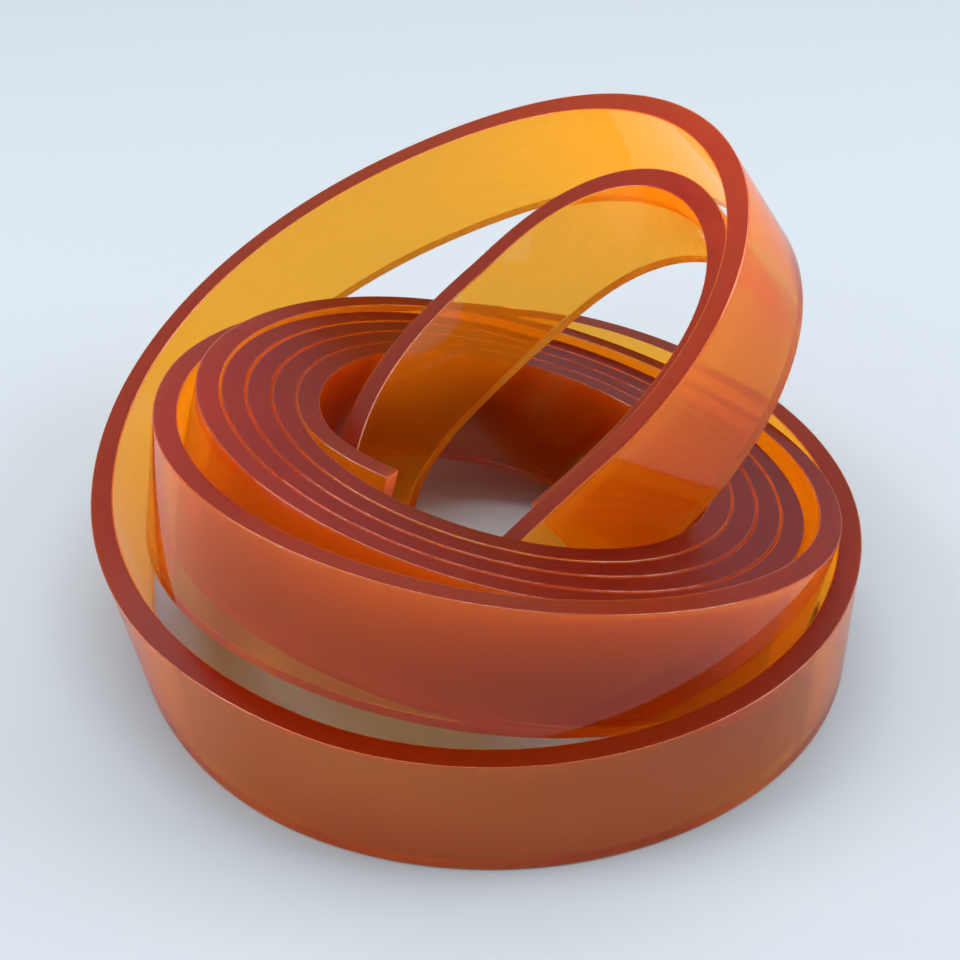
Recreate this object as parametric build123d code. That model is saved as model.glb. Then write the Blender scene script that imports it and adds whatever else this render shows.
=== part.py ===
from build123d import *
import os
from math import cos, radians, sin, tan

# Strip section, mm
WIDTH = 50
THICKNESS = 9

# Angles run along the strip, clockwise seen from above: 0 is the front (-Y), 90 the left,
# 180 the back, 270 the right, and every 360 is one more turn outward.
# The strip is one piece. It is drawn as five lengths that meet face to face.
LENGTHS = {
    "wound_turns": (42, 1530),
    "bowed_turn": (1530, 1980),
    "table_turn": (1980, 2250),
    "first_loop": (2250, 2610),
    "second_loop": (2610, 2850),
}
STATION = 5         # degrees between the sections that each length passes through

# How the strip lies. Each row is a hoop that the strip follows at that angle:
# angle, hoop centre x, y, z (z at half width), radius to the middle of the thickness,
# and how many degrees its plane falls towards +X and towards +Y.
LAY = [
    (42, 5.7, -86.8, 58.2, 68, 14, 10.5),    # inner cut end, sprung inward
    (75, 5.7, -86.8, 58.2, 78.1, 14, 10.5),
    (95, 5.7, -86.8, 58.2, 78.6, 14, 10.5),    # wound turns, tilted where they rest on the table turn
    (1440, 5.7, -86.8, 58.2, 114.1, 14, 10.5),
    (1530, 5.7, -86.8, 58.2, 116.5, 14, 10.5),    # the wound turns end
    (1620, 6.1, -87, 61.9, 119.6, 14, 10.6),
    (1710, 10.5, -83.1, 61, 121.6, 14, 10.7),
    (1800, -2.9, -69.6, 62.5, 142.1, 11.3, 8.6),    # bows out at the front
    (1890, 2, -69, 58.3, 123.1, 7.2, 6.5),
    (1980, 14.5, -70.5, 53.7, 113.5, 4, 9),
    (2050, 26.2, -81.6, 34.8, 114.8, 3.4, 4.5),    # slips down to the table at the right
    (2105, 27, -88.5, 24.8, 117.2, 0, 0),    # stands flat along the front
    (2195, 11.4, -100.3, 24.8, 127.3, 0, 0),
    (2250, -4.7, -91.2, 60.1, 139.6, -12, -10.2),    # lifts off at the left
    (2340, -21.2, -79.1, 68.8, 156.1, -22.8, -12),    # back of the first loop
    (2430, -8.4, -48.3, 79.5, 132, -31.8, -16.2),    # its right side
    (2475, -8.6, -46.4, 69.6, 111, -34.6, -13),    # drops into the bore
    (2520, -5.2, -64, 70.8, 93, -38.3, -15.6),
    (2565, 3.4, -79.2, 73.7, 75.1, -34.6, -22.8),
    (2610, 14.2, -95.9, 78.9, 61.1, -28.8, -29.7),    # climbs again as the second loop
    (2700, 21, -79, 83.4, 69.8, -36.9, -16.7),
    (2790, 16.8, -43.1, 75.6, 102.5, -35, -13),
    (2850, -8.9, -46.5, 60.6, 97.2, -35.8, -13.5),    # outer cut end, hidden in the bore
]


def slope(before, after, h0, h1):
    """Rate of change at a row, level wherever the value turns back."""
    if before * after <= 0:
        return 0
    w0, w1 = 2 * h1 + h0, h1 + 2 * h0
    return (w0 + w1) / (w0 / before + w1 / after)


def hoop(angle):
    """The hoop followed at any angle, eased from row to row."""
    i = 0
    while i < len(LAY) - 2 and angle > LAY[i + 1][0]:
        i += 1
    h = LAY[i + 1][0] - LAY[i][0]
    u = (angle - LAY[i][0]) / h
    values = []
    for k in range(1, 7):
        rate = [(b[k] - a[k]) / (b[0] - a[0]) for a, b in zip(LAY, LAY[1:])]
        step = [b[0] - a[0] for a, b in zip(LAY, LAY[1:])]
        m0 = slope(rate[i - 1], rate[i], step[i - 1], step[i]) if i else rate[0]
        last = i == len(rate) - 1
        m1 = rate[i] if last else slope(rate[i], rate[i + 1], step[i], step[i + 1])
        a, b = LAY[i][k], LAY[i + 1][k]
        values.append(a * (1 + 2 * u) * (1 - u) ** 2 + m0 * h * u * (1 - u) ** 2
                      + b * u * u * (3 - 2 * u) - m1 * h * u * u * (1 - u))
    return values


def middle(angle):
    """Point on the strip's middle line, and its hoop's normal."""
    x, y, z, radius, fall_x, fall_y = hoop(angle)
    normal = Vector(tan(radians(fall_x)), tan(radians(fall_y)), 1).normalized()
    out = Vector(-sin(radians(angle)), -cos(radians(angle)), 0)
    out = (out - normal * out.dot(normal)).normalized()
    return Vector(x, y, z) + out * radius, normal


def corners(angle):
    """The section's four corners: top outer, top inner, bottom inner, bottom outer."""
    point, normal = middle(angle)
    along = (middle(angle + 0.5)[0] - middle(angle - 0.5)[0]).normalized()
    up = (normal - along * normal.dot(along)).normalized() * (WIDTH / 2)
    out = up.cross(along).normalized() * (THICKNESS / 2)
    return [point + up + out, point + up - out, point - up - out, point - up + out]


def square_section(angle):
    return Face(Wire.make_polygon(corners(angle), close=True))


def length_of_strip(first, last):
    """A ruled loft through the square sections from one angle to another."""
    steps = round((last - first) / STATION)
    angles = [first + (last - first) * k / steps for k in range(steps + 1)]
    return Solid.make_loft([square_section(a).outer_wire() for a in angles], ruled=True)


lengths = {name: length_of_strip(first, last) for name, (first, last) in LENGTHS.items()}

# The strip's own weight presses the edge that it stands on flat along the front.
below_table = Pos(0, -70, -5) * Box(400, 400, 10)
lengths["table_turn"] -= below_table

# The origin is the centre of the footprint, on the table.
footprint = Compound(list(lengths.values())).bounding_box().center()
os.makedirs("parts", exist_ok=True)
for name, length in lengths.items():
    export_step(Pos(-footprint.X, -footprint.Y, 0) * length, f"parts/{name}.step")
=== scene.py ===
from math import cos, pi, radians, sin, tan

import bpy
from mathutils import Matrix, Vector


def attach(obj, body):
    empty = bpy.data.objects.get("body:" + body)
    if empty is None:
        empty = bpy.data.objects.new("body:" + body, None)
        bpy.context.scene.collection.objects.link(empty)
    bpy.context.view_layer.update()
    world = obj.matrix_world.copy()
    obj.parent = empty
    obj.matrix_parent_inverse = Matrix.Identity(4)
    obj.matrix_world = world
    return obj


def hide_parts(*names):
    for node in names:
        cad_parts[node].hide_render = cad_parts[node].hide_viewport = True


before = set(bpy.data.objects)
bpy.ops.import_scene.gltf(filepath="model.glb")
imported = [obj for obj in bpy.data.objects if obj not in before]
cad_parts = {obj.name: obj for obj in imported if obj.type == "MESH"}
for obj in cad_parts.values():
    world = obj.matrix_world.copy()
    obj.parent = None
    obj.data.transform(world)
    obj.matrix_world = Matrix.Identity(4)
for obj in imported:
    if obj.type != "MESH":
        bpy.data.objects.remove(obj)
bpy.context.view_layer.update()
scene = bpy.context.scene

# the strip
# Dimensions here are millimetres; the meshes are made in metres.
WIDTH = 50
THICKNESS = 9
EDGE = 0.5           # radius of the four long edges
ENDS = 42, 2850      # angle along the strip at its inner and outer cut ends
STEP = 1.5           # degrees between sections
FOOTPRINT = Vector((-2.78, -70.74, 0))

# The hoop the strip follows at each angle: angle, centre x, y, z, radius, and the degrees
# its plane falls towards +X and towards +Y. The solids follow the same rows, but along the
# front theirs lie 0.2 mm lower and are cut flat at the table.
LAY = [
    (42, 5.7, -86.8, 58.2, 68, 14, 10.5),    # inner cut end, sprung inward
    (75, 5.7, -86.8, 58.2, 78.1, 14, 10.5),
    (95, 5.7, -86.8, 58.2, 78.6, 14, 10.5),    # wound turns, tilted where they rest on the table turn
    (1440, 5.7, -86.8, 58.2, 114.1, 14, 10.5),
    (1530, 5.7, -86.8, 58.2, 116.5, 14, 10.5),    # the wound turns end
    (1620, 6.1, -87, 61.9, 119.6, 14, 10.6),
    (1710, 10.5, -83.1, 61, 121.6, 14, 10.7),
    (1800, -2.9, -69.6, 62.5, 142.1, 11.3, 8.6),    # bows out at the front
    (1890, 2, -69, 58.3, 123.1, 7.2, 6.5),
    (1980, 14.5, -70.5, 53.7, 113.5, 4, 9),
    (2050, 26.2, -81.6, 34.8, 114.8, 3.4, 4.5),    # slips down to the table at the right
    (2105, 27, -88.5, 25, 117.2, 0, 0),    # stands flat along the front
    (2195, 11.4, -100.3, 25, 127.3, 0, 0),
    (2250, -4.7, -91.2, 60.1, 139.6, -12, -10.2),    # lifts off at the left
    (2340, -21.2, -79.1, 68.8, 156.1, -22.8, -12),    # back of the first loop
    (2430, -8.4, -48.3, 79.5, 132, -31.8, -16.2),    # its right side
    (2475, -8.6, -46.4, 69.6, 111, -34.6, -13),    # drops into the bore
    (2520, -5.2, -64, 70.8, 93, -38.3, -15.6),
    (2565, 3.4, -79.2, 73.7, 75.1, -34.6, -22.8),
    (2610, 14.2, -95.9, 78.9, 61.1, -28.8, -29.7),    # climbs again as the second loop
    (2700, 21, -79, 83.4, 69.8, -36.9, -16.7),
    (2790, 16.8, -43.1, 75.6, 102.5, -35, -13),
    (2850, -8.9, -46.5, 60.6, 97.2, -35.8, -13.5),    # outer cut end, hidden in the bore
]


def slope(before, after, h0, h1):
    if before * after <= 0:
        return 0
    w0, w1 = 2 * h1 + h0, h1 + 2 * h0
    return (w0 + w1) / (w0 / before + w1 / after)


STEPS = [b[0] - a[0] for a, b in zip(LAY, LAY[1:])]
RATES = [[(b[k] - a[k]) / h for a, b, h in zip(LAY, LAY[1:], STEPS)] for k in range(7)]


def rate_at(k, i):
    """How fast value k changes with the angle at row i."""
    if i in (0, len(LAY) - 1):
        return RATES[k][0 if i == 0 else -1]
    return slope(RATES[k][i - 1], RATES[k][i], STEPS[i - 1], STEPS[i])


def hoop(angle):
    i = max(n for n in range(len(STEPS)) if n == 0 or LAY[n][0] < angle)
    h = STEPS[i]
    u = (angle - LAY[i][0]) / h
    return [LAY[i][k] * (1 + 2 * u) * (1 - u) ** 2 + rate_at(k, i) * h * u * (1 - u) ** 2
            + LAY[i + 1][k] * u * u * (3 - 2 * u) - rate_at(k, i + 1) * h * u * u * (1 - u)
            for k in range(1, 7)]


def middle(angle):
    x, y, z, radius, fall_x, fall_y = hoop(angle)
    normal = Vector((tan(radians(fall_x)), tan(radians(fall_y)), 1)).normalized()
    out = Vector((-sin(radians(angle)), -cos(radians(angle)), 0))
    out = (out - normal * out.dot(normal)).normalized()
    return Vector((x, y, z)) + out * radius - FOOTPRINT, normal


def outline():
    """The strip's section with rounded edges, as (outward, up) pairs."""
    points = []
    for n in range(4):
        side_out, side_up = ((1, 1), (-1, 1), (-1, -1), (1, -1))[n]
        for k in range(4):
            turn = radians(90 * n + 30 * k)
            points.append((side_out * (THICKNESS / 2 - EDGE) + cos(turn) * EDGE,
                           side_up * (WIDTH / 2 - EDGE) + sin(turn) * EDGE))
    return points


def section(angle):
    point, normal = middle(angle)
    along = (middle(angle + 0.5)[0] - middle(angle - 0.5)[0]).normalized()
    up = (normal - along * normal.dot(along)).normalized()
    out = up.cross(along).normalized()
    return [(point + out * a + up * b) / 1000 for a, b in outline()]


def strip_mesh():
    count = round((ENDS[1] - ENDS[0]) / STEP)
    angles = [ENDS[0] + (ENDS[1] - ENDS[0]) * k / count for k in range(count + 1)]
    verts = [v for a in angles for v in section(a)]
    n = len(outline())
    faces = [(r * n + k, r * n + (k + 1) % n, (r + 1) * n + (k + 1) % n, (r + 1) * n + k)
             for r in range(count) for k in range(n)]
    faces += [tuple(reversed(range(n))), tuple(range(count * n, count * n + n))]
    mesh = bpy.data.meshes.new("blade_strip")
    mesh.from_pydata(verts, [], faces)
    mesh.validate()
    return mesh


strip = bpy.data.objects.new("blade_strip_fine", strip_mesh())
scene.collection.objects.link(strip)
for face in strip.data.polygons:
    face.use_smooth = len(face.vertices) == 4
weighted = strip.modifiers.new("even_normals", "WEIGHTED_NORMAL")
weighted.keep_sharp = True


# materials
def polyurethane(name, roughness, haze, haze_colour):
    """Clear amber polyurethane: colour comes with depth, and a little haze scatters light."""
    mat = bpy.data.materials.new(name)
    mat.use_nodes = True
    tree = mat.node_tree
    clear = tree.nodes["Principled BSDF"]
    clear.inputs["Base Color"].default_value = (1.0, 0.96, 0.88, 1)
    clear.inputs["Transmission Weight"].default_value = 1.0
    clear.inputs["IOR"].default_value = 1.50
    clear.inputs["Roughness"].default_value = roughness
    glow = tree.nodes.new("ShaderNodeBsdfTranslucent")
    glow.inputs["Color"].default_value = (*haze_colour, 1)
    mix = tree.nodes.new("ShaderNodeMixShader")
    mix.inputs["Fac"].default_value = haze
    depth = tree.nodes.new("ShaderNodeVolumeAbsorption")
    depth.inputs["Color"].default_value = (0.996, 0.85, 0.0, 1)
    depth.inputs["Density"].default_value = 230
    output = tree.nodes["Material Output"]
    tree.links.new(clear.outputs[0], mix.inputs[1])
    tree.links.new(glow.outputs[0], mix.inputs[2])
    tree.links.new(mix.outputs[0], output.inputs["Surface"])
    tree.links.new(depth.outputs[0], output.inputs["Volume"])
    return mat


strip.data.materials.append(polyurethane("amber_polyurethane", 0.05, 0.28, (1.0, 0.48, 0.08)))
strip.data.materials.append(polyurethane("amber_cut_edge", 0.30, 0.60, (1.0, 0.40, 0.16)))
corner_points = len(outline())
# Faces 3 and 11 round the section are its narrow edges, and the two many-sided faces its ends.
for number, face in enumerate(strip.data.polygons):
    narrow = number % corner_points in (3, 11) or len(face.vertices) > 4
    face.material_index = 1 if narrow else 0
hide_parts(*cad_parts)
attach(strip, "root")


# camera
FOCAL_PX = 1889.5    # focal length in pixels of a 960-pixel picture
TILT = 37.0          # degrees the camera looks down
AWAY = 0.8368        # metres to the point looked at

lens = bpy.data.cameras.new("camera")
lens.sensor_width = 36
lens.lens = 36 * FOCAL_PX / 960
lens.clip_end = 20
cam = bpy.data.objects.new("camera", lens)
scene.collection.objects.link(cam)
cam.rotation_euler = (radians(90 - TILT), 0, 0)
back = Vector((0, 0, 1))
back.rotate(cam.rotation_euler)
cam.location = -FOOTPRINT / 1000 + back * AWAY
scene.camera = cam


# floor and light
def plain(name, colour, rough=0.9):
    mat = bpy.data.materials.new(name)
    mat.use_nodes = True
    bsdf = mat.node_tree.nodes["Principled BSDF"]
    bsdf.inputs["Base Color"].default_value = (*colour, 1)
    bsdf.inputs["Roughness"].default_value = rough
    bsdf.inputs["Specular IOR Level"].default_value = 0.1
    return mat


bpy.ops.mesh.primitive_plane_add(size=8, location=(0, 1.0, -0.0005))
floor = bpy.context.object
floor.name = "floor"
floor.data.materials.append(plain("floor_paper", (0.27, 0.295, 0.315)))


def softbox(name, where, aim, wide, tall, watts, colour=(1, 1, 1)):
    data = bpy.data.lights.new(name, "AREA")
    data.shape = "RECTANGLE"
    data.size, data.size_y = wide, tall
    data.energy = watts
    data.color = colour
    lamp = bpy.data.objects.new(name, data)
    scene.collection.objects.link(lamp)
    lamp.location = where
    lamp.rotation_euler = (Vector(aim) - Vector(where)).to_track_quat("-Z", "Y").to_euler()
    return lamp


softbox("top", (0, 0.3, 1.6), (0, 0, 0), 1.6, 1.2, 36)
softbox("left", (-1.3, -0.3, 0.9), (0, 0, 0.05), 0.8, 1.0, 22)
softbox("right", (1.3, 0.0, 0.9), (0, 0, 0.05), 0.8, 1.0, 22)

world = bpy.data.worlds.new("studio")
world.use_nodes = True
world.node_tree.nodes["Background"].inputs[0].default_value = (0.86, 0.90, 0.96, 1)
world.node_tree.nodes["Background"].inputs[1].default_value = 0.92
scene.world = world
scene.view_settings.view_transform = "Standard"
scene.cycles.use_light_tree = False
scene.cycles.max_bounces = 10
scene.cycles.transmission_bounces = 10
scene.cycles.glossy_bounces = 3
scene.cycles.diffuse_bounces = 1
